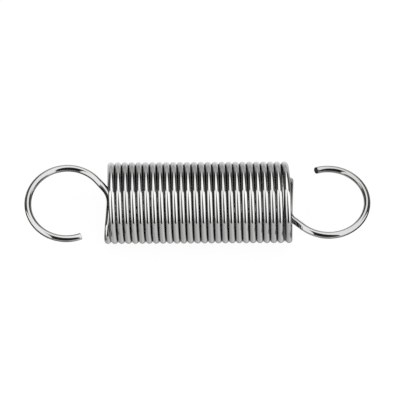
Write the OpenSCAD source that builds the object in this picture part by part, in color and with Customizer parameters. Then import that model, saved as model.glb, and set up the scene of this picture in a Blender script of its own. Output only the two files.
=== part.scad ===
/* [Wire] */
// Diameter of the round wire
wire_d = 1; // [0.6:0.1:1]

/* [Coil] */
// Outside diameter of the coil
coil_d = 12; // [11:0.5:14]
// Turns that show on the upper side
turns = 26; // [8:1:30]
// Gap between one turn and the next, measured along the axis
turn_gap = 0.015; // [0.015:0.005:0.1]
// Extra gap in front of the last turn on the right
last_gap = 0.19; // [0:0.01:0.3]

/* [Left loop] */
// Angle below the left loop's plane at which the wire leaves the coil
left_leave = 28; // [25:1:45]
// Lean of the left crossing wire into the coil, in degrees
left_lean = 4.2; // [2:0.1:4.2]
// Turn of the corner between the left crossing wire and the loop, in degrees
left_corner = 44; // [40:1:55]
// Bend radius of that corner
left_corner_r = 3.8; // [1.5:0.1:4]
// Inside diameter of the left loop
left_loop_d = 10.5; // [10:0.1:11]
// Distance from the coil's end plane to the middle of the left loop
left_reach = 6.15; // [6:0.01:8]
// Turn of the left loop up to its free end, in degrees
left_sweep = 251.5; // [220:0.5:260]
// Roll of the left loop about the coil's axis, far side up
left_roll = 2.5; // [0:0.5:3]

/* [Right loop] */
// Angle below the right loop's plane at which the wire leaves the coil
right_leave = 41; // [25:1:45]
// Lean of the right crossing wire into the coil, in degrees
right_lean = 3; // [2:0.1:4.2]
// Turn of the corner between the right crossing wire and the loop, in degrees
right_corner = 52; // [40:1:55]
// Bend radius of that corner
right_corner_r = 2; // [1.5:0.1:3]
// Inside diameter of the right loop
right_loop_d = 10.4; // [10:0.1:11]
// Distance from the coil's end plane to the middle of the right loop
right_reach = 5.62; // [5.3:0.01:8]
// Turn of the right loop up to its free end, in degrees
right_sweep = 237.5; // [220:0.5:260]
// Roll of the right loop about the coil's axis, near side up
right_roll = 3; // [0:0.5:3]
// Slant of the cut face at the right loop's free end, turned upwards
right_cut = 20; // [0:1:30]
// Slant of the same face in the loop's plane, with the far side longer
right_skew = 12; // [0:1:20]

/* [Detail] */
// Rings in one turn of the coil
turn_rings = 20; // [12:4:20]

/* [Hidden] */

// Flat sides of the wire's section
sides = 8;
pitch = wire_d + turn_gap;
step_a = 360 / turn_rings;
// The wire measures its true diameter across the flats of its section
section_r = wire_d / 2 / cos(180 / sides);
// Flats between the rings touch the true outside diameter, and one of them faces down
coil_r = coil_d / 2 / cos(step_a / 2) - wire_d / 2;
axis_h = coil_d / 2;
// Helix angle 0 is the far side, 90 the top; turn 1 starts at 360
helix_start = 180 + left_leave + left_roll;
helix_end = 360 * turns + 360 - right_leave - right_roll;
body_l = turns * pitch + last_gap;
// The coil's middle is off the spring's middle, as one loop stands out further
left_out = left_reach + (left_loop_d + 2 * wire_d) / 2;
right_out = right_reach + (right_loop_d + 2 * wire_d) / 2;
body_mid = (left_out - right_out) / 2;
bend_rings = 6;
corner_rings = 3;
loop_rings = 16;

// A frame of the wire is its place, its heading and its inward side
function place(f) = f[0];
function heading(f) = f[1];
function inward(f) = f[2];
function across(f) = cross(heading(f), inward(f));
function spin(v, axis, a) =
    v * cos(a) + cross(axis, v) * sin(a) + axis * (axis * v) * (1 - cos(a));
function unit(v) = v / norm(v);
function arc_l(r, a) = r * a * PI / 180;

// The body, a helix along +X that widens once, over the first two thirds of the last turn
function widen(t) = (1 - cos(min(max(0.75 * (t - 360 * turns) + 45, 0), 180))) / 2;
function helix_x(t) = pitch * (t / 360 - turns / 2 - 0.75) + last_gap * (widen(t) - 0.5);
function helix_frame(t) =
    let (rise = pitch / 360 * 180 / PI, run = sqrt(rise * rise + coil_r * coil_r))
    [
        [helix_x(t), coil_r * cos(t), coil_r * sin(t)],
        [rise, -coil_r * sin(t), coil_r * cos(t)] / run,
        [0, -cos(t), -sin(t)]
    ];

// One stretch of wire: [side it bends to, length, turn, rings]
function ahead(f, stretch, part) =
    let (
        to = inward(f) * cos(stretch[0]) + across(f) * sin(stretch[0]),
        axis = cross(heading(f), to),
        a = stretch[2] * part,
        r = stretch[2] == 0 ? 0 : stretch[1] / arc_l(1, stretch[2]),
        moved = stretch[2] == 0
            ? heading(f) * stretch[1] * part
            : to * r * (1 - cos(a)) + heading(f) * r * sin(a)
    )
    [place(f) + moved, spin(heading(f), axis, a), spin(inward(f), axis, a)];
function along(f, stretches) =
    len(stretches) == 0 ? [] :
    let (
        s = stretches[0],
        rings = [for (i = [1:s[3]]) ahead(f, s, i / s[3])],
        rest = [for (i = [1:1:len(stretches) - 1]) stretches[i]]
    )
    concat(rings, along(rings[len(rings) - 1], rest));

// From the coil's right end: the bend up to the axis, the wire across, the corner and the loop
// end is [leaving angle, lean, corner, its radius, distance to the loop's middle, its diameter, its turn]
function twist_for(f, leave, lean) =
    let (bend_a = 90 + leave, wanted = sin(lean) + heading(f)[0] * cos(bend_a))
    -asin(wanted / sin(bend_a));
function end_frames(f, end) =
    let (
        leave = end[0],
        turn = end[2],
        corner_r = end[3],
        bend_r = coil_r * sin(leave) / (1 + sin(leave)),
        twisted = spin(inward(f), heading(f), twist_for(f, leave, end[1])),
        start = [place(f), heading(f), twisted],
        bend = along(start, [[0, arc_l(bend_r, 90 + leave), 90 + leave, bend_rings]]),
        b = bend[len(bend) - 1],
        loop_r = (end[5] + wire_d) / 2 / cos(end[6] / loop_rings / 2),
        middle = [end[4], 0, 0] - place(b),
        out = unit([1, 0, 0] - heading(b) * heading(b)[0]),
        side = atan2(out * across(b), out * inward(b)),
        leg = (middle * out - corner_r * (1 - cos(turn)) - loop_r * cos(turn)) / sin(turn),
        cross_l = middle * heading(b) + (loop_r - corner_r) * sin(turn) - leg * cos(turn)
    )
    concat(bend, along(b, [
        [side, cross_l, 0, 1],
        [side, arc_l(corner_r, turn), turn, corner_rings],
        [side, leg, 0, 1],
        [side, arc_l(loop_r, end[6]), end[6], loop_rings]
    ]));
function half_turned(v) = [-v[0], -v[1], v[2]];
function backwards(frames) = [
    for (i = [len(frames) - 1:-1:0])
        let (f = frames[i])
        [half_turned(place(f)), -half_turned(heading(f)), half_turned(inward(f))]
];

module wire(frames, cut, skew) {
    n = len(frames);
    points = [
        for (i = [0:n - 1])
            for (k = [0:sides - 1])
                let (
                    f = frames[i],
                    a = (k + 0.5) * 360 / sides,
                    spot = (inward(f) * cos(a) + across(f) * sin(a)) * section_r,
                    slant = spot[1] * tan(skew) - spot[2] * tan(cut),
                    longer = i == n - 1 ? heading(f) * slant : [0, 0, 0]
                )
                place(f) + spot + longer
    ];
    skin = [
        for (i = [0:n - 2])
            for (k = [0:sides - 1])
                let (p = i * sides + k, q = i * sides + (k + 1) % sides)
                for (face = [[p, q + sides, q], [p, p + sides, q + sides]]) face
    ];
    ends = [
        [for (k = [0:sides - 1]) k],
        [for (k = [sides - 1:-1:0]) (n - 1) * sides + k]
    ];
    polyhedron(points, concat(skin, ends));
}

module spring() {
    first_ring = ceil(helix_start / step_a - 0.25) + 0.5;
    last_ring = floor(helix_end / step_a - 0.75) + 0.5;
    coil = [
        helix_frame(helix_start),
        for (i = [first_ring:last_ring]) helix_frame(i * step_a),
        helix_frame(helix_end)
    ];
    right_x = body_l / 2 + right_reach;
    right_end = [
        right_leave, right_lean, right_corner, right_corner_r, right_x, right_loop_d, right_sweep
    ];
    right = end_frames(coil[len(coil) - 1], right_end);
    left_x = body_l / 2 + left_reach;
    left_end = [
        left_leave, left_lean, left_corner, left_corner_r, left_x, left_loop_d, left_sweep
    ];
    left = backwards(end_frames(backwards([coil[0]])[0], left_end));
    color("silver")
        translate([body_mid, 0, axis_h])
            wire(concat(left, coil, right), right_cut, right_skew);
}

spring();
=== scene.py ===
import math

import bpy
import numpy as np
from bpy.props import FloatProperty, FloatVectorProperty, IntProperty, PointerProperty
from bpy.types import Operator, Panel, PropertyGroup
from mathutils import Matrix, Vector


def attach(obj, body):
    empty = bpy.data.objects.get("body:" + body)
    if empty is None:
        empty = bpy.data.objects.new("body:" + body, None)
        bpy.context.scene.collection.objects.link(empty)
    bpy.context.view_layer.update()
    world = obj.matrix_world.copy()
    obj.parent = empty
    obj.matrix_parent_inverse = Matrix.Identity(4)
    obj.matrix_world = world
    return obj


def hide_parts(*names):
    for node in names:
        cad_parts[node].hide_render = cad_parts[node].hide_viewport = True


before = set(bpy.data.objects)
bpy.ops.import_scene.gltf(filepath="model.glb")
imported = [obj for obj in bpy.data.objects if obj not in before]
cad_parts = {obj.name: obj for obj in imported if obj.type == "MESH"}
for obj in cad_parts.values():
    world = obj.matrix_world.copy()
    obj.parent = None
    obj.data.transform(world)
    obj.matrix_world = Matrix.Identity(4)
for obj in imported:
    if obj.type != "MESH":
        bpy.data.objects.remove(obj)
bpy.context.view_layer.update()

bl_info = {
    "name": "Extension spring",
    "version": (1, 0, 0),
    "blender": (4, 5, 0),
    "location": "View3D > Sidebar > Spring",
    "description": "Winds a bright extension spring with loop ends, and sets up the studio round it",
    "category": "Add Mesh",
}

MM = 0.001
WIRE_SIDES = 24
STEPS_A_TURN = 96


def length(name, about, millimetres):
    """A property for one length of the spring or the studio."""
    return FloatProperty(name=name, description=about, default=millimetres * MM, min=0, unit="LENGTH")


def angle(name, about, degrees):
    """A property for one angle of the spring or the studio."""
    return FloatProperty(name=name, description=about, default=math.radians(degrees), subtype="ANGLE")


def share(name, about, value, top=1.0):
    """A property for a plain number from nought to its top."""
    return FloatProperty(name=name, description=about, default=value, min=0, max=top, subtype="FACTOR")


def colour(name, about, value):
    """A property for one linear colour."""
    return FloatVectorProperty(name=name, description=about, default=value, size=3, min=0, max=1, subtype="COLOR")


class SpringSizes(PropertyGroup):
    """The sizes the wire is wound and bent to."""

    wire_d: length("Wire", "Diameter of the round wire", 1.0)
    coil_d: length("Coil", "Outside diameter of the coil", 12.0)
    turns: IntProperty(name="Turns", description="Turns that show on the upper side", default=26, min=2)
    turn_gap: length("Turn gap", "Gap between one turn and the next", 0.015)
    last_gap: length("Last gap", "Extra gap in front of the last turn on the right", 0.19)
    left_leave: angle("Left leaving", "How far below the left loop's plane the wire leaves the coil", 28)
    left_lean: angle("Left lean", "Lean of the left crossing wire into the coil", 4.2)
    left_corner: angle("Left corner", "Turn of the corner between the left crossing wire and the loop", 44)
    left_corner_r: length("Left corner radius", "Bend radius of that corner", 3.8)
    left_loop_d: length("Left loop", "Inside diameter of the left loop", 10.5)
    left_reach: length("Left reach", "From the coil's end to the middle of the left loop", 6.15)
    left_sweep: angle("Left sweep", "Turn of the left loop up to its free end", 251.5)
    left_roll: angle("Left roll", "Roll of the left loop about the axis, far side up", 2.5)
    right_leave: angle("Right leaving", "How far below the right loop's plane the wire leaves the coil", 41)
    right_lean: angle("Right lean", "Lean of the right crossing wire into the coil", 3)
    right_corner: angle("Right corner", "Turn of the corner between the right crossing wire and the loop", 52)
    right_corner_r: length("Right corner radius", "Bend radius of that corner", 2.0)
    right_loop_d: length("Right loop", "Inside diameter of the right loop", 10.4)
    right_reach: length("Right reach", "From the coil's end to the middle of the right loop", 5.62)
    right_sweep: angle("Right sweep", "Turn of the right loop up to its free end", 237.5)
    right_roll: angle("Right roll", "Roll of the right loop about the axis, near side up", 3)
    right_cut: angle("Right cut", "Slant of the cut face of the right loop, turned upwards", 20)
    right_skew: angle("Right skew", "Slant of the same face in the loop's plane, with the far side longer", 12)


class SpringFinish(PropertyGroup):
    """The look of the plated wire and of its cut ends."""

    plate_colour: colour("Plating", "Colour of the bright plating", (0.76, 0.76, 0.75))
    plate_roughness: share("Plating roughness", "How much the plating blurs what it mirrors", 0.07)
    line_depth: share("Drawing lines", "Strength of the fine lines left by the drawing die", 0.12)
    line_shade: share("Line shade", "Share of its brightness that the plating keeps in those lines", 0.88)
    slow_shade: share("Slow shade", "Share of its brightness that the plating keeps in its duller stretches", 0.88)
    crevice_shade: share("Crevice shade", "Share of its brightness that the wire keeps between closed turns", 0.3)
    contact_shade: share("Contact shade", "Share of that which is left where the turns touch", 0.2)
    loop_shade: share("Loop shade", "Share of the coil's brightness that the loops keep", 0.8)
    cut_colour: colour("Cut face", "Colour of the bare sheared steel", (0.24, 0.24, 0.25))
    cut_roughness: share("Cut roughness", "Roughness of the bare sheared steel", 0.42)
    burr_shade: share("Burr shade", "Share of its brightness that the rim of a cut face keeps", 0.15)


class SpringStudio(PropertyGroup):
    """The floor, the light tent and the camera."""

    floor_colour: colour("Floor", "Colour of the pale floor", (0.84, 0.84, 0.84))
    floor_lift: share("Floor lift", "Share of plain white in the floor that the camera sees", 0.86)
    lift_level: share("Lift level", "Brightness of that plain white", 1.08, 2)
    painted_floor_shadow: share("Painted floor shadow", "Share of its brightness that the floor keeps right under the coil", 0.3)
    painted_shadow_of_loops: share("Painted shadow of loops", "Share of the mirrored floor that is left under and beyond each loop", 0.3)
    painted_dark_reflection_level: share("Painted dark reflections", "Share of the mirrored floor that is left on the painted dark reflections", 0.03)
    painted_highlight_level: share("White card", "Brightness of the card beside the coil's right end", 0.75)
    panel_level: share("Panels", "Brightness of the white panels of the tent", 1.4, 4)
    shade_level: share("Shade", "Brightness of the dark parts of the tent", 0.07)
    back_level: share("Back", "Brightness of the low grey band behind the spring", 0.48)
    opening_level: share("Camera opening", "Brightness of the opening round the camera", 0.025)
    opening_w: share("Opening width", "Half the width of that opening, on a unit sphere", 0.5)
    camera_elevation: angle("Camera height", "Elevation of the camera above the floor", 61.5)
    camera_roll: angle("Camera roll", "Turn of the camera about its view", 0.29)
    camera_distance: length("Camera distance", "From the camera to the spring", 480)
    pixel: length("Pixel", "Width that one of the picture's 400 pixels covers at the axis", 0.1468)
    axis_x: FloatProperty(name="Middle, across", description="Picture column of the spring's middle", default=197.45)
    axis_y: FloatProperty(name="Middle, down", description="Picture row of the coil's axis", default=202.65)


# The centre line of the wire


def spun(vector, axis, a):
    """The vector turned about a unit axis by each angle: v cos a + (axis x v) sin a + axis (axis . v)(1 - cos a)."""
    a = np.asarray(a)[:, None]
    return vector * np.cos(a) + np.cross(axis, vector) * np.sin(a) + axis * (axis @ vector) * (1 - np.cos(a))


def stretch(start, side, run, turn, steps):
    """Frames along one stretch of wire, a circle of radius run / turn, or a straight where turn is nought.

    A frame is three rows: place, heading and inward side. The wire bends towards inward cos(side) + across sin(side).
    """
    place, heading, inward = start
    part = np.arange(1, steps + 1) / steps
    to = inward * math.cos(side) + np.cross(heading, inward) * math.sin(side)
    a = part * turn
    if turn:
        moved = np.outer(1 - np.cos(a), to) * run / turn + np.outer(np.sin(a), heading) * run / turn
    else:
        moved = np.outer(part * run, heading)
    axis = np.cross(heading, to)
    return np.stack([place + moved, spun(heading, axis, a), spun(inward, axis, a)], axis=1)


def coil_frames(s, steps_a_turn):
    """Frames of the body, a right-handed helix: y = r cos t, z = r sin t, and x rises by one pitch a turn.

    x takes an extra half cosine step over the first two thirds of the last turn, which opens that one gap.
    """
    r = (s.coil_d - s.wire_d) / 2
    pitch = s.wire_d + s.turn_gap
    first = math.pi + s.left_leave + s.left_roll
    last = math.tau * (s.turns + 1) - s.right_leave - s.right_roll
    t = np.linspace(first, last, round((last - first) / math.tau * steps_a_turn) + 1)
    widen = (1 - np.cos(np.clip(0.75 * (t - math.tau * s.turns) + math.pi / 4, 0, math.pi))) / 2
    x = pitch * (t / math.tau - s.turns / 2 - 0.75) + s.last_gap * (widen - 0.5)
    flat = np.zeros_like(t)
    place = np.stack([x, r * np.cos(t), r * np.sin(t)], axis=1)
    heading = np.stack([flat + pitch / math.tau, -r * np.sin(t), r * np.cos(t)], axis=1)
    heading /= np.linalg.norm(heading, axis=1, keepdims=True)
    inward = np.stack([flat, -np.cos(t), -np.sin(t)], axis=1)
    return np.stack([place, heading, inward], axis=1)


def end_frames(s, start, body_l, end):
    """Frames from the coil's right end to the free end: bend, crossing wire, corner, straight leg and loop.

    The bend is tight enough to rise from the coil to its axis, and twisted so that the crossing wire leans by the
    given angle. The crossing wire and the leg are as long as it takes for the loop, of the given size, to stand with
    its middle on the axis at its reach from the body's end.
    """
    leave, lean, turn, corner_r, loop_d, reach, sweep = (
        getattr(s, end + name)
        for name in ("_leave", "_lean", "_corner", "_corner_r", "_loop_d", "_reach", "_sweep")
    )
    coil_r = (s.coil_d - s.wire_d) / 2
    loop_r = (loop_d + s.wire_d) / 2
    bend_r = coil_r * math.sin(leave) / (1 + math.sin(leave))
    bend_a = math.pi / 2 + leave
    wanted = math.sin(lean) + start[1, 0] * math.cos(bend_a)
    twist = -math.asin(wanted / math.sin(bend_a))
    start = np.array([start[0], start[1], spun(start[2], start[1], [twist])[0]])
    bend = stretch(start, 0, bend_r * bend_a, bend_a, 40)
    place, heading, inward = bend[-1]
    out = np.array([1.0, 0, 0]) - heading * heading[0]
    out /= np.linalg.norm(out)
    side = math.atan2(out @ np.cross(heading, inward), out @ inward)
    to_middle = np.array([body_l / 2 + reach, 0, 0]) - place
    leg = (to_middle @ out - corner_r * (1 - math.cos(turn)) - loop_r * math.cos(turn)) / math.sin(turn)
    crossing = to_middle @ heading + (loop_r - corner_r) * math.sin(turn) - leg * math.cos(turn)
    frames = [bend]
    for run, a, steps in (
        (crossing, 0, 8),
        (corner_r * turn, turn, 24),
        (leg, 0, 4),
        (loop_r * sweep, sweep, 120),
    ):
        frames.append(stretch(frames[-1][-1], side, run, a, steps))
    return np.concatenate(frames)


def half_turned(frames):
    """The frames turned half round the upright axis and run backwards, which makes a left end of a right one."""
    return frames[::-1] * np.array([-1, -1, 1]) * np.array([[1], [-1], [1]])


def wire_frames(s):
    """The whole centre line, from the free end of the left loop to that of the right one.

    Also gives the numbers of the body's first and last frame.
    """
    body_l = s.turns * (s.wire_d + s.turn_gap) + s.last_gap
    coil = coil_frames(s, STEPS_A_TURN)
    right = end_frames(s, coil[-1], body_l, "right")
    left = end_frames(s, half_turned(coil[:1])[0], body_l, "left")
    frames = np.concatenate([half_turned(left), coil, right])
    left_out = s.left_reach + s.left_loop_d / 2 + s.wire_d
    right_out = s.right_reach + s.right_loop_d / 2 + s.wire_d
    frames[:, 0] += [(left_out - right_out) / 2, 0, s.coil_d / 2]
    return frames, len(left), len(left) + len(coil) - 1


# The skin of the wire


def cut_rings(frame_at_end, r, direction):
    """Rings that close a sheared end: the rim rolls over on a quarter circle, and the face runs in to its middle.

    Radius and depth are shares of the wire's radius. The rim's are 1 - rim (1 - cos t) and rim sin t.
    """
    rim = 0.12
    roll = np.linspace(0, math.pi / 2, 5)[1:]
    radius = np.concatenate([1 - rim * (1 - np.cos(roll)), [0.62, 0.38, 0.16]])
    depth = np.concatenate([rim * np.sin(roll), [0.13, 0.12, 0.11]])
    rings = np.repeat(frame_at_end[None], len(radius), axis=0)
    rings[:, 0] += direction * np.outer(depth * r, frame_at_end[1])
    return rings, radius * r


def eased(value, low, high):
    """Nought below low, one above high, and 3 u u - 2 u u u between them."""
    u = np.clip((value - low) / (high - low), 0, 1)
    return u * u * (3 - 2 * u)


def crevices(s, along, first, last, a, up):
    """How deep each point lies between closed turns: from nought to one, and up to two where the turns touch.

    It rises with |sin a|, towards the next turn on one side and the turn before on the other, and to two where |sin a|
    nears one. The first turn has none before it, nor the last one after it, and the bends keep a little of it.

    The corner beside the coil's left end gets a painted reflection of the dark coil, as painted shade on both flanks,
    where up, the share of the radius by which a point stands above the centre line, is low. It counts as touching
    there:
    1 - up up is eased to two.
    """
    turn = math.pi * (s.coil_d - s.wire_d)
    soft = 1.5 * s.wire_d
    has_next = eased(along, first - 2 * soft, first) * (1 - eased(along, last - turn - soft, last - turn))
    has_former = eased(along, first + turn, first + turn + soft) * (1 - eased(along, last, last + 2 * soft))
    side = np.sin(a)
    contact = eased(np.abs(side), 0.85, 1.0)
    towards_next = has_next[:, None] * (eased(side, 0.6, 0.93) + contact)
    towards_former = has_former[:, None] * (eased(-side, 0.35, 0.75) + contact)
    to_coil = first - along
    corner = eased(to_coil, 5.2 * MM, 6.4 * MM) * (1 - eased(to_coil, 9.8 * MM, 10.4 * MM))
    # Painted reflection of the dark coil: two dark bands on the flanks of the left corner
    painted_reflection_stripes = 2 * corner[:, None] * eased(1 - up * up, 0.08, 0.3)
    return np.where(side > 0, towards_next, towards_former) + painted_reflection_stripes


def wire_points(s, sides):
    """Points of the skin as rings by sides: place + radius (cos a inward + sin a across), a even round the wire.

    Also gives the same points on the unbent wire, (distance along, radius cos a, radius sin a), how deep each lies
    in a crevice, the distances along at which the coil starts and ends, and the number of rings at each cut end.
    The right end is cut on a slant that faces up, with its far side longer.
    """
    r = s.wire_d / 2
    frames, body_first, body_last = wire_frames(s)
    first, first_r = cut_rings(frames[0], r, -1)
    last, last_r = cut_rings(frames[-1], r, 1)
    frames = np.concatenate([first[::-1], frames, last])
    radius = np.full(len(frames), r)
    radius[: len(first_r)] = first_r[::-1]
    radius[-len(last_r) :] = last_r
    place, heading, inward = frames[:, 0], frames[:, 1], frames[:, 2]
    across = np.cross(heading, inward)
    a = np.arange(sides) / sides * math.tau
    spot = radius[:, None, None] * (
        np.cos(a)[None, :, None] * inward[:, None] + np.sin(a)[None, :, None] * across[:, None]
    )
    slanted = len(frames) - len(last_r) - 1
    slant = spot[slanted:, :, 1:2] * math.tan(s.right_skew) - spot[slanted:, :, 2:3] * math.tan(s.right_cut)
    spot[slanted:] += heading[slanted:, None] * slant
    steps = np.linalg.norm(np.diff(place, axis=0), axis=1)
    along = np.concatenate([[0], np.cumsum(steps)])
    unbent = np.stack(
        [
            np.repeat(along[:, None], sides, axis=1),
            np.outer(radius, np.cos(a)),
            np.outer(radius, np.sin(a)),
        ],
        axis=2,
    )
    body = along[body_first + len(first_r)], along[body_last + len(first_r)]
    deep = crevices(s, along, *body, a, spot[:, :, 2] / r)
    return place[:, None] + spot, unbent, deep, body, len(first_r), len(last_r)


def tube_faces(rings, sides):
    """Four-cornered faces between each ring and the next, and a many-sided face to close each end, facing out."""
    ring, side = np.meshgrid(np.arange(rings - 1), np.arange(sides), indexing="ij")
    here = ring * sides + side
    beside = ring * sides + (side + 1) % sides
    quads = np.stack([here, beside, beside + sides, here + sides], axis=2).reshape(-1, 4)
    first = np.arange(sides)[::-1]
    last = (rings - 1) * sides + np.arange(sides)
    return quads.tolist() + [first.tolist(), last.tolist()]


def new_object(name, mesh):
    """Puts a mesh in the scene as an object at the origin."""
    obj = bpy.data.objects.new(name, mesh)
    bpy.context.scene.collection.objects.link(obj)
    return obj


# Finishes


class Nodes:
    """Short hand for building one node tree."""

    def __init__(self, tree):
        self.tree = tree
        tree.nodes.clear()

    def add(self, kind, inputs=(), **settings):
        """A node of the given kind, with its settings and its inputs, by name or number, set or linked."""
        node = self.tree.nodes.new(kind)
        for key, value in settings.items():
            setattr(node, key, value)
        for key, value in dict(inputs).items():
            if isinstance(value, bpy.types.NodeSocket):
                self.tree.links.new(value, node.inputs[key])
            else:
                node.inputs[key].default_value = value
        return node

    def math(self, operation, *values):
        """The result of one maths node."""
        return self.add("ShaderNodeMath", dict(enumerate(values)), operation=operation).outputs[0]

    def ramp(self, value, low, high, to_low=0.0, to_high=1.0):
        """The value carried smoothly from low and high to two other levels."""
        return self.add(
            "ShaderNodeMapRange",
            {"Value": value, "From Min": low, "From Max": high, "To Min": to_low, "To Max": to_high},
            interpolation_type="SMOOTHSTEP",
        ).outputs["Result"]

    def noise(self, vector, scale, detail=2.0, roughness=0.5):
        """Smooth noise between nought and one."""
        return self.add(
            "ShaderNodeTexNoise",
            {"Vector": vector, "Scale": scale, "Detail": detail, "Roughness": roughness},
        ).outputs["Fac"]


def plated_wire(finish, body_first, body_last):
    """Bright plated wire: a mirror with faint lines along it, and a slow change of shade from turn to turn.

    Where closed turns face each other, and most where they touch, the wire is darker, a painted shade for the dark
    it mirrors there, and rougher too. Both loops are a little darker than the coil, a painted shade as well. The coil
    lies between the two given distances along the wire.
    """
    material = bpy.data.materials.new("bright_plated_wire")
    material.use_nodes = True
    n = Nodes(material.node_tree)
    unbent = n.add("ShaderNodeAttribute", attribute_name="unbent").outputs["Vector"]
    # Both patterns are stretched along the wire, the drawing lines a hundred times and the slow shade ten times
    lines_at = n.add(
        "ShaderNodeVectorMath", {0: unbent, 1: (30.0, 3000.0, 3000.0)}, operation="MULTIPLY"
    ).outputs[0]
    lines = n.noise(lines_at, 2.2, 3.0)
    slow_at = n.add(
        "ShaderNodeVectorMath", {0: unbent, 1: (60.0, 600.0, 600.0)}, operation="MULTIPLY"
    ).outputs[0]
    slow = n.noise(slow_at, 1.0, 2.0)
    shade = n.add(
        "ShaderNodeMix",
        {
            "Factor": n.ramp(slow, 0.3, 0.7),
            "A": [c * finish.slow_shade for c in finish.plate_colour] + [1],
            "B": [*finish.plate_colour, 1],
        },
        data_type="RGBA",
    )
    deep = n.add("ShaderNodeAttribute", attribute_name="crevice").outputs["Fac"]
    # Painted shade between closed turns and where they touch, and a painted reflection of the dark coil at the left
    # corner
    keep = n.math(
        "MULTIPLY",
        n.ramp(deep, 0.0, 1.0, 1.0, finish.crevice_shade),
        n.ramp(deep, 1.0, 2.0, 1.0, finish.contact_shade),
    )
    along = n.add("ShaderNodeSeparateXYZ", {0: unbent}).outputs["X"]
    middle, half = (body_first + body_last) / 2, (body_last - body_first) / 2
    off_middle = n.math("ABSOLUTE", n.math("SUBTRACT", along, middle))
    # Painted shade: the loops keep only a share of the coil's brightness
    keep = n.math("MULTIPLY", keep, n.ramp(off_middle, half, half + 6 * MM, 1.0, finish.loop_shade))
    keep = n.math("MULTIPLY", keep, n.ramp(lines, 0.3, 0.7, finish.line_shade, 1.0))
    shade = n.add(
        "ShaderNodeVectorMath", {0: shade.outputs["Result"], "Scale": keep}, operation="SCALE"
    )
    roughness = n.math(
        "ADD",
        n.ramp(lines, 0.25, 0.8, finish.plate_roughness * 0.7, finish.plate_roughness * 1.6),
        n.math("MULTIPLY", deep, 0.08),
    )
    bump = n.add(
        "ShaderNodeBump", {"Strength": finish.line_depth, "Distance": 0.004 * MM, "Height": lines}
    ).outputs["Normal"]
    shader = n.add(
        "ShaderNodeBsdfPrincipled",
        {"Base Color": shade.outputs[0], "Metallic": 1.0, "Roughness": roughness, "Normal": bump},
    )
    n.add("ShaderNodeOutputMaterial", {"Surface": shader.outputs[0]})
    return material


def sheared_steel(finish, wire_r):
    """The cut face: bare steel, torn across, with a dark burr round its rim."""
    material = bpy.data.materials.new("sheared_steel")
    material.use_nodes = True
    n = Nodes(material.node_tree)
    place = n.add("ShaderNodeTexCoord").outputs["Object"]
    tear = n.noise(place, 9000.0, 4.0, 0.7)
    bump = n.add(
        "ShaderNodeBump", {"Strength": 0.6, "Distance": 0.02 * MM, "Height": tear}
    ).outputs["Normal"]
    shade = n.add(
        "ShaderNodeMix",
        {"Factor": tear, "A": [c * 0.6 for c in finish.cut_colour] + [1], "B": [*finish.cut_colour, 1]},
        data_type="RGBA",
    )
    unbent = n.add("ShaderNodeAttribute", attribute_name="unbent").outputs["Vector"]
    in_section = n.add("ShaderNodeVectorMath", {0: unbent, 1: (0.0, 1.0, 1.0)}, operation="MULTIPLY").outputs[0]
    off_axis = n.add("ShaderNodeVectorMath", {0: in_section}, operation="LENGTH").outputs["Value"]
    keep = n.ramp(off_axis, 0.55 * wire_r, 0.8 * wire_r, 1.0, finish.burr_shade)
    shade = n.add("ShaderNodeVectorMath", {0: shade.outputs["Result"], "Scale": keep}, operation="SCALE")
    shader = n.add(
        "ShaderNodeBsdfPrincipled",
        {
            "Base Color": shade.outputs[0],
            "Metallic": 1.0,
            "Roughness": finish.cut_roughness,
            "Normal": bump,
        },
    )
    n.add("ShaderNodeOutputMaterial", {"Surface": shader.outputs[0]})
    return material


class SPRING_OT_wind_wire(Operator):
    """Wind the whole spring from one length of plated wire."""

    bl_idname = "spring.wind_wire"
    bl_label = "Wind the wire"

    def execute(self, context):
        sizes, finish = context.scene.spring_sizes, context.scene.spring_finish
        points, unbent, deep, body, first_cap, last_cap = wire_points(sizes, WIRE_SIDES)
        rings = len(points)
        mesh = bpy.data.meshes.new("spring_wire")
        mesh.from_pydata(points.reshape(-1, 3).tolist(), [], tube_faces(rings, WIRE_SIDES))
        mesh.attributes.new("unbent", "FLOAT_VECTOR", "POINT").data.foreach_set(
            "vector", unbent.astype(np.float32).ravel()
        )
        mesh.attributes.new("crevice", "FLOAT", "POINT").data.foreach_set(
            "value", deep.astype(np.float32).ravel()
        )
        mesh.materials.append(plated_wire(finish, *body))
        mesh.materials.append(sheared_steel(finish, sizes.wire_d / 2))
        # The plating ends two rings into each rolled rim, and the faces from there inwards are bare steel
        bare = np.zeros(len(mesh.polygons), dtype=np.int32)
        bare[: (first_cap - 2) * WIRE_SIDES] = 1
        bare[(rings - 1 - (last_cap - 2)) * WIRE_SIDES :] = 1
        mesh.polygons.foreach_set("material_index", bare)
        mesh.polygons.foreach_set("use_smooth", np.ones(len(bare), dtype=bool))
        mesh.update()
        wire = new_object("spring_wire", mesh)
        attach(wire, "root")
        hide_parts("spring")
        return {"FINISHED"}


# The studio


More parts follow.
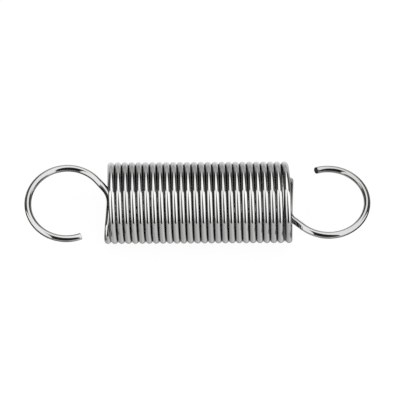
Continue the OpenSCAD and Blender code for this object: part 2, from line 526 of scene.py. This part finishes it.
def floor_finish(sizes, studio):
    """A pale matt floor. The camera sees it mostly as plain white, so that its shadow stays faint.

    Right under the coil its colour is darkened to a painted shadow, and there the camera sees it unlifted, with its
    real shade as well. Mirrored rays pass the floor and see the lower half of the light tent, apart from patches that
    only
    they see: painted shadow under and beyond each loop, painted dark reflections further out at each end, painted
    shade along the coil, and a painted highlight, a white glow, beside the coil's right end.
    """
    material = bpy.data.materials.new("pale_floor")
    material.use_nodes = True
    n = Nodes(material.node_tree)
    path = n.add("ShaderNodeLightPath").outputs
    place = n.add("ShaderNodeTexCoord").outputs["Object"]
    x, y, _ = n.add("ShaderNodeSeparateXYZ", {0: place}).outputs

    def beyond(part, reach, soft, middle=0.0):
        """Nought as far as the reach from the middle, and one beyond its soft edge, all in millimetres."""
        off = n.math("ABSOLUTE", n.math("SUBTRACT", part, middle * MM))
        return n.ramp(off, reach * MM, (reach + soft) * MM)

    def within(part, reach, soft, middle=0.0):
        """The opposite of beyond."""
        return n.math("SUBTRACT", 1.0, beyond(part, reach, soft, middle))

    # The coil covers its own footprint from the photo's camera, so only that part is left unlifted
    half_l = sizes.turns * (sizes.wire_d + sizes.turn_gap) / 2
    past_ends = n.ramp(n.math("ABSOLUTE", x), half_l - 0.1 * MM, half_l + 0.6 * MM)
    past_sides = n.math("MAXIMUM", n.ramp(y, -3.5 * MM, -3.1 * MM, 1.0, 0.0), n.ramp(y, 3 * MM, 6.5 * MM))
    uncovered = n.math("MAXIMUM", past_ends, past_sides)
    # Painted shadow: under the coil the floor's own colour is darkened too
    colour = n.add(
        "ShaderNodeVectorMath",
        {0: studio.floor_colour, "Scale": n.ramp(uncovered, 0.0, 1.0, studio.painted_floor_shadow, 1.0)},
        operation="SCALE",
    )
    matt = n.add("ShaderNodeBsdfDiffuse", {"Color": colour.outputs[0]})
    white = n.add("ShaderNodeEmission", {"Color": (1, 1, 1, 1), "Strength": studio.lift_level})
    lift = n.math("MULTIPLY", n.math("MULTIPLY", path["Is Camera Ray"], uncovered), studio.floor_lift)
    seen = n.add("ShaderNodeMixShader", {0: lift, 1: matt.outputs[0], 2: white.outputs[0]})

    # Painted shade and painted dark reflections that only mirrored rays see: under and beyond the loops, at each end
    # and along the coil
    painted_shadow_of_loops_mask = n.math("MULTIPLY", beyond(x, 15, 3), within(y, 12, 4))
    painted_dark_reflection_ends = n.math("MULTIPLY", beyond(x, 26, 4), within(y, 16, 4))
    painted_coil_shade = n.math("MULTIPLY", within(x, 13, 2), within(y, 3, 1, middle=5))
    painted_reflection_shade = n.math(
        "MULTIPLY",
        n.ramp(painted_shadow_of_loops_mask, 0.0, 1.0, 1.0, studio.painted_shadow_of_loops),
        n.ramp(n.math("MAXIMUM", painted_dark_reflection_ends, painted_coil_shade), 0.0, 1.0, 1.0, studio.painted_dark_reflection_level),
    )
    clear = n.add("ShaderNodeBsdfTransparent", {"Color": painted_reflection_shade})
    # A painted highlight: a white glow beside the coil's right end that only mirrored rays see
    painted_highlight = n.math("MULTIPLY", within(x, 8, 1, middle=25), within(y, 3, 1, middle=4.5))
    painted_highlight_glow = n.add("ShaderNodeEmission", {"Color": (1, 1, 1, 1), "Strength": studio.painted_highlight_level})
    below = n.add("ShaderNodeMixShader", {0: painted_highlight, 1: clear.outputs[0], 2: painted_highlight_glow.outputs[0]})

    mirrored = n.math("MAXIMUM", path["Is Glossy Ray"], path["Is Transmission Ray"])
    mixed = n.add("ShaderNodeMixShader", {0: mirrored, 1: seen.outputs[0], 2: below.outputs[0]})
    n.add("ShaderNodeOutputMaterial", {"Surface": mixed.outputs[0]})
    return material


def tent_above(n, studio, x, y, z):
    """Brightness of the upper half of the tent, towards (x, y, z).

    White panels fill the near half and a little more, as far as y stays below a fifth of |x|. A white strip hangs
    over the far side, where |x| is below 0.75 z - 0.32 y. Low at the back is a grey band, where z + 1.77 |x| is
    below 1.19 y. The camera looks in through a dark opening that narrows upwards, where (u / w)^2 +
    ((y + 1) / 1.16)^2 < 1, with u = x + 0.12 y + 0.16 and w = (0.45 - 0.55 y) times its width. The rest is shade.
    """
    across = n.math("ABSOLUTE", x)

    def lean(part, times, less):
        """The first value times a number, less the second."""
        return n.math("SUBTRACT", n.math("MULTIPLY", part, times), less)

    panels = n.ramp(lean(across, 0.21, y), -0.04, 0.04)
    strip = n.ramp(n.math("SUBTRACT", lean(z, 0.75, n.math("MULTIPLY", y, 0.32)), across), -0.03, 0.03)
    white = n.ramp(n.math("MAXIMUM", panels, strip), 0.0, 1.0, studio.shade_level, studio.panel_level)
    in_back = n.math("SUBTRACT", lean(y, 1.19, n.math("MULTIPLY", across, 1.77)), z)
    level = n.math("MAXIMUM", white, n.ramp(in_back, -0.05, 0.1, 0.0, studio.back_level))
    u = n.math("ADD", n.math("MULTIPLY_ADD", y, 0.12, x), 0.16)
    w = n.math("MULTIPLY_ADD", y, -0.55 * studio.opening_w, 0.45 * studio.opening_w)
    from_opening = n.add(
        "ShaderNodeCombineXYZ",
        {0: n.math("DIVIDE", u, w), 1: n.math("DIVIDE", n.math("ADD", y, 1.0), 1.16)},
    )
    distance = n.add("ShaderNodeVectorMath", {0: from_opening.outputs[0]}, operation="LENGTH")
    outside = n.ramp(distance.outputs["Value"], 0.94, 1.06)
    return n.math("MAXIMUM", n.math("MULTIPLY", level, outside), studio.opening_level)


def tent_below(n, x, y, z):
    """Brightness of the floor as the wire mirrors it, towards (x, y, z).

    Up to where y is about 0.5 it is grey, brighter on the right, and falls to one dark grey as y rises to 0.35.
    Beyond that it is bright underneath and darker towards the horizon.
    """
    near = n.ramp(y, -0.1, 0.35, n.ramp(x, -0.02, 0.15, 0.54, 0.72), 0.32)
    far = n.ramp(z, -0.6, -0.05, 0.85, 0.42)
    return n.ramp(y, 0.48, 0.58, near, far)


def light_tent(world, studio):
    """Light tent as a pattern of directions (x, y, z), with the camera at -y. The camera itself sees plain white."""
    world.use_nodes = True
    n = Nodes(world.node_tree)
    direction = n.add("ShaderNodeTexCoord").outputs["Generated"]
    x, y, z = n.add("ShaderNodeSeparateXYZ", {0: direction}).outputs
    level = n.ramp(z, -0.02, 0.0, tent_below(n, x, y, z), tent_above(n, studio, x, y, z))
    tent = n.add("ShaderNodeBackground", {"Color": (1, 1, 1, 1), "Strength": level})
    plain = n.add("ShaderNodeBackground", {"Color": (1, 1, 1, 1), "Strength": 1.0})
    camera = n.add("ShaderNodeLightPath").outputs["Is Camera Ray"]
    mixed = n.add("ShaderNodeMixShader", {0: camera, 1: tent.outputs[0], 2: plain.outputs[0]})
    n.add("ShaderNodeOutputWorld", {"Surface": mixed.outputs[0]})


def disc(name, radius, sides=96):
    """A flat round floor at height nought: points r (cos a, sin a)."""
    a = np.arange(sides) / sides * math.tau
    points = np.stack([radius * np.cos(a), radius * np.sin(a), np.zeros(sides)], axis=1)
    mesh = bpy.data.meshes.new(name)
    mesh.from_pydata(points.tolist(), [], [list(range(sides))])
    return new_object(name, mesh)


def place_camera(studio):
    """A long lens that looks down on the spring, aimed so that its middle falls on the wanted pixel."""
    data = bpy.data.cameras.new("camera")
    camera = bpy.data.objects.new("camera", data)
    bpy.context.scene.collection.objects.link(camera)
    bpy.context.scene.camera = camera
    e = studio.camera_elevation
    back = Vector((0, -math.cos(e), math.sin(e)))
    up = Vector((0, math.sin(e), math.cos(e)))
    middle = Vector((0, 0, bpy.context.scene.spring_sizes.coil_d / 2))
    image_middle = 200
    aim = middle + studio.pixel * (
        (image_middle - studio.axis_x) * Vector((1, 0, 0)) + (studio.axis_y - image_middle) * up
    )
    data.sensor_width = 36
    data.lens = data.sensor_width * studio.camera_distance / (2 * image_middle * studio.pixel)
    turn = (-back).to_track_quat("-Z", "Y").to_matrix() @ Matrix.Rotation(-studio.camera_roll, 3, "Z")
    camera.matrix_world = Matrix.Translation(aim + back * studio.camera_distance) @ turn.to_4x4()
    data.clip_start, data.clip_end = 0.01, 20


class SPRING_OT_set_stage(Operator):
    """Lay the floor, light the tent and place the camera."""

    bl_idname = "spring.set_stage"
    bl_label = "Set the stage"

    def execute(self, context):
        studio = context.scene.spring_studio
        floor = disc("floor", 2.0)
        floor.data.materials.append(floor_finish(context.scene.spring_sizes, studio))
        context.scene.world = bpy.data.worlds.new("light_tent")
        light_tent(context.scene.world, studio)
        place_camera(studio)
        context.scene.view_settings.view_transform = "Standard"
        return {"FINISHED"}


class SPRING_PT_panel(Panel):
    """Lists the steps and the sizes in the sidebar."""

    bl_idname = "SPRING_PT_panel"
    bl_label = "Extension spring"
    bl_space_type = "VIEW_3D"
    bl_region_type = "UI"
    bl_category = "Spring"

    def draw(self, context):
        for operator in OPERATORS:
            self.layout.operator(operator.bl_idname)
        for group in (context.scene.spring_sizes, context.scene.spring_finish, context.scene.spring_studio):
            box = self.layout.box()
            for name in group.__annotations__:
                box.prop(group, name)


GROUPS = {"spring_sizes": SpringSizes, "spring_finish": SpringFinish, "spring_studio": SpringStudio}
OPERATORS = (SPRING_OT_wind_wire, SPRING_OT_set_stage)


def register():
    for name, group in GROUPS.items():
        bpy.utils.register_class(group)
        setattr(bpy.types.Scene, name, PointerProperty(type=group))
    for cls in (*OPERATORS, SPRING_PT_panel):
        bpy.utils.register_class(cls)


def unregister():
    for cls in (SPRING_PT_panel, *reversed(OPERATORS)):
        bpy.utils.unregister_class(cls)
    for name, group in reversed(GROUPS.items()):
        delattr(bpy.types.Scene, name)
        bpy.utils.unregister_class(group)


def main():
    register()
    bpy.ops.spring.wind_wire()
    bpy.ops.spring.set_stage()


if __name__ == "__main__":
    main()
